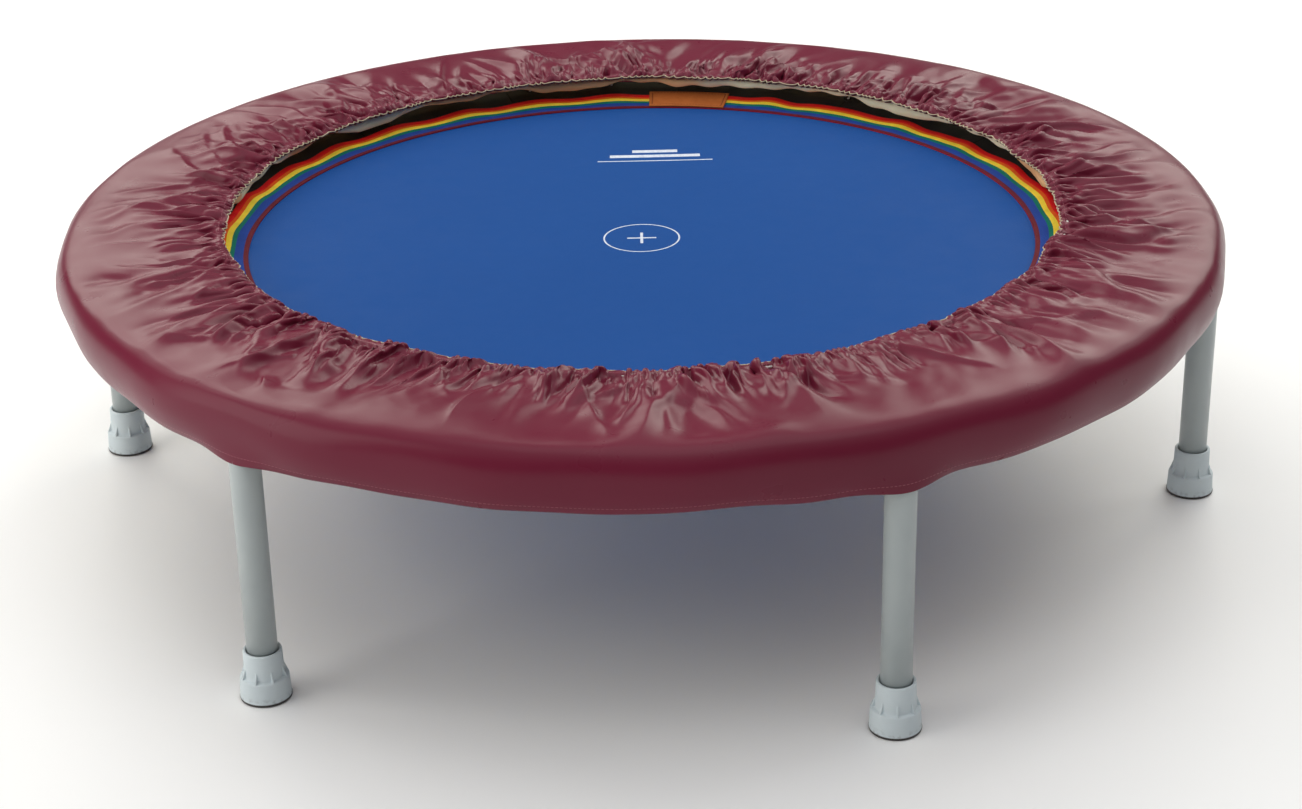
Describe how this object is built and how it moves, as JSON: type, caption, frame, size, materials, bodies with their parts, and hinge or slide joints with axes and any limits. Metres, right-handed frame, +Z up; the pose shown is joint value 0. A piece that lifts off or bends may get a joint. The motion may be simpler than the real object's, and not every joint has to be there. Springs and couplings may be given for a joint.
{
  "type": "mini trampoline",
  "caption": "Round low trampoline with a sprung woven mat, a gathered fabric edge cover over foam and tube frame, and legs that fold in under it.",
  "frame": {"origin": "on the floor, under the centre of the mat", "axes": "+Z up out of the mat, +X through the middle of leg 1, +Y near the label on the mat's band"},
  "size_m": [1.048, 1.036, 0.268],
  "materials": {
    "grey_paint": "smooth satin blue-grey paint",
    "zinc_steel": "zinc plated",
    "grey_rubber": "matte, light grey",
    "blue_mat": "tight woven polypropylene with a slight sheen",
    "black_webbing": "matte black woven webbing",
    "rainbow_webbing": "woven stripes, red at the outside through yellow, green and blue to wine at the inside",
    "brown_label": "brushed, with a stitched border",
    "wine_fabric": "satin polyester, gathered into folds",
    "cream_foam": "matte closed-cell foam sheet",
    "white_elastic": "braided cord"
  },
  "bodies": {
    "frame": {"frame_ring": "grey_paint", "foam_pad": "cream_foam", "frame_cover": "wine_fabric", "gather_elastic": "white_elastic", "hinge_pin_1": "zinc_steel", "hinge_pin_2": "zinc_steel", "hinge_pin_3": "zinc_steel", "hinge_pin_4": "zinc_steel", "hinge_pin_5": "zinc_steel", "hinge_pin_6": "zinc_steel", "spring_01": "zinc_steel", "spring_02": "zinc_steel", "spring_03": "zinc_steel", "spring_04": "zinc_steel", "spring_05": "zinc_steel", "spring_06": "zinc_steel", "spring_07": "zinc_steel", "spring_08": "zinc_steel", "spring_09": "zinc_steel", "spring_10": "zinc_steel", "spring_11": "zinc_steel", "spring_12": "zinc_steel", "spring_13": "zinc_steel", "spring_14": "zinc_steel", "spring_15": "zinc_steel", "spring_16": "zinc_steel", "spring_17": "zinc_steel", "spring_18": "zinc_steel", "spring_19": "zinc_steel", "spring_20": "zinc_steel", "spring_21": "zinc_steel", "spring_22": "zinc_steel", "spring_23": "zinc_steel", "spring_24": "zinc_steel", "spring_25": "zinc_steel", "spring_26": "zinc_steel", "spring_27": "zinc_steel", "spring_28": "zinc_steel", "spring_29": "zinc_steel", "spring_30": "zinc_steel"},
    "mat": {"jump_mat": "blue_mat", "edge_webbing": "black_webbing", "rainbow_band": "rainbow_webbing", "band_label": "brown_label"},
    "leg_1": {"leg_tube_1": "grey_paint", "foot_cap_1": "grey_rubber"},
    "leg_2": {"leg_tube_2": "grey_paint", "foot_cap_2": "grey_rubber"},
    "leg_3": {"leg_tube_3": "grey_paint", "foot_cap_3": "grey_rubber"},
    "leg_4": {"leg_tube_4": "grey_paint", "foot_cap_4": "grey_rubber"},
    "leg_5": {"leg_tube_5": "grey_paint", "foot_cap_5": "grey_rubber"},
    "leg_6": {"leg_tube_6": "grey_paint", "foot_cap_6": "grey_rubber"}
  },
  "joints": [
    {"name": "mat_bounce", "type": "slide", "parent": "frame", "child": "mat", "axis": [0, 0, 1], "range_m": [-0.06, 0], "stiffness_N_per_m": 6000, "springref_m": 0.004, "deforming": ["spring_01", "spring_02", "spring_03", "spring_04", "spring_05", "spring_06", "spring_07", "spring_08", "spring_09", "spring_10", "spring_11", "spring_12", "spring_13", "spring_14", "spring_15", "spring_16", "spring_17", "spring_18", "spring_19", "spring_20", "spring_21", "spring_22", "spring_23", "spring_24", "spring_25", "spring_26", "spring_27", "spring_28", "spring_29", "spring_30"]},
    {"name": "leg_fold_1", "type": "hinge", "parent": "frame", "child": "leg_1", "pos_m": [0.4825, 0, 0.2225], "axis": [0, 1, 0], "range_deg": [0, 90]},
    {"name": "leg_fold_2", "type": "hinge", "parent": "frame", "child": "leg_2", "pos_m": [0.24125, 0.41786, 0.2225], "axis": [-0.866, 0.5, 0], "range_deg": [0, 90]},
    {"name": "leg_fold_3", "type": "hinge", "parent": "frame", "child": "leg_3", "pos_m": [-0.24125, 0.41786, 0.2225], "axis": [-0.866, -0.5, 0], "range_deg": [0, 90]},
    {"name": "leg_fold_4", "type": "hinge", "parent": "frame", "child": "leg_4", "pos_m": [-0.4825, 0, 0.2225], "axis": [0, -1, 0], "range_deg": [0, 90]},
    {"name": "leg_fold_5", "type": "hinge", "parent": "frame", "child": "leg_5", "pos_m": [-0.24125, -0.41786, 0.2225], "axis": [0.866, -0.5, 0], "range_deg": [0, 90]},
    {"name": "leg_fold_6", "type": "hinge", "parent": "frame", "child": "leg_6", "pos_m": [0.24125, -0.41786, 0.2225], "axis": [0.866, 0.5, 0], "range_deg": [0, 90]}
  ]
}
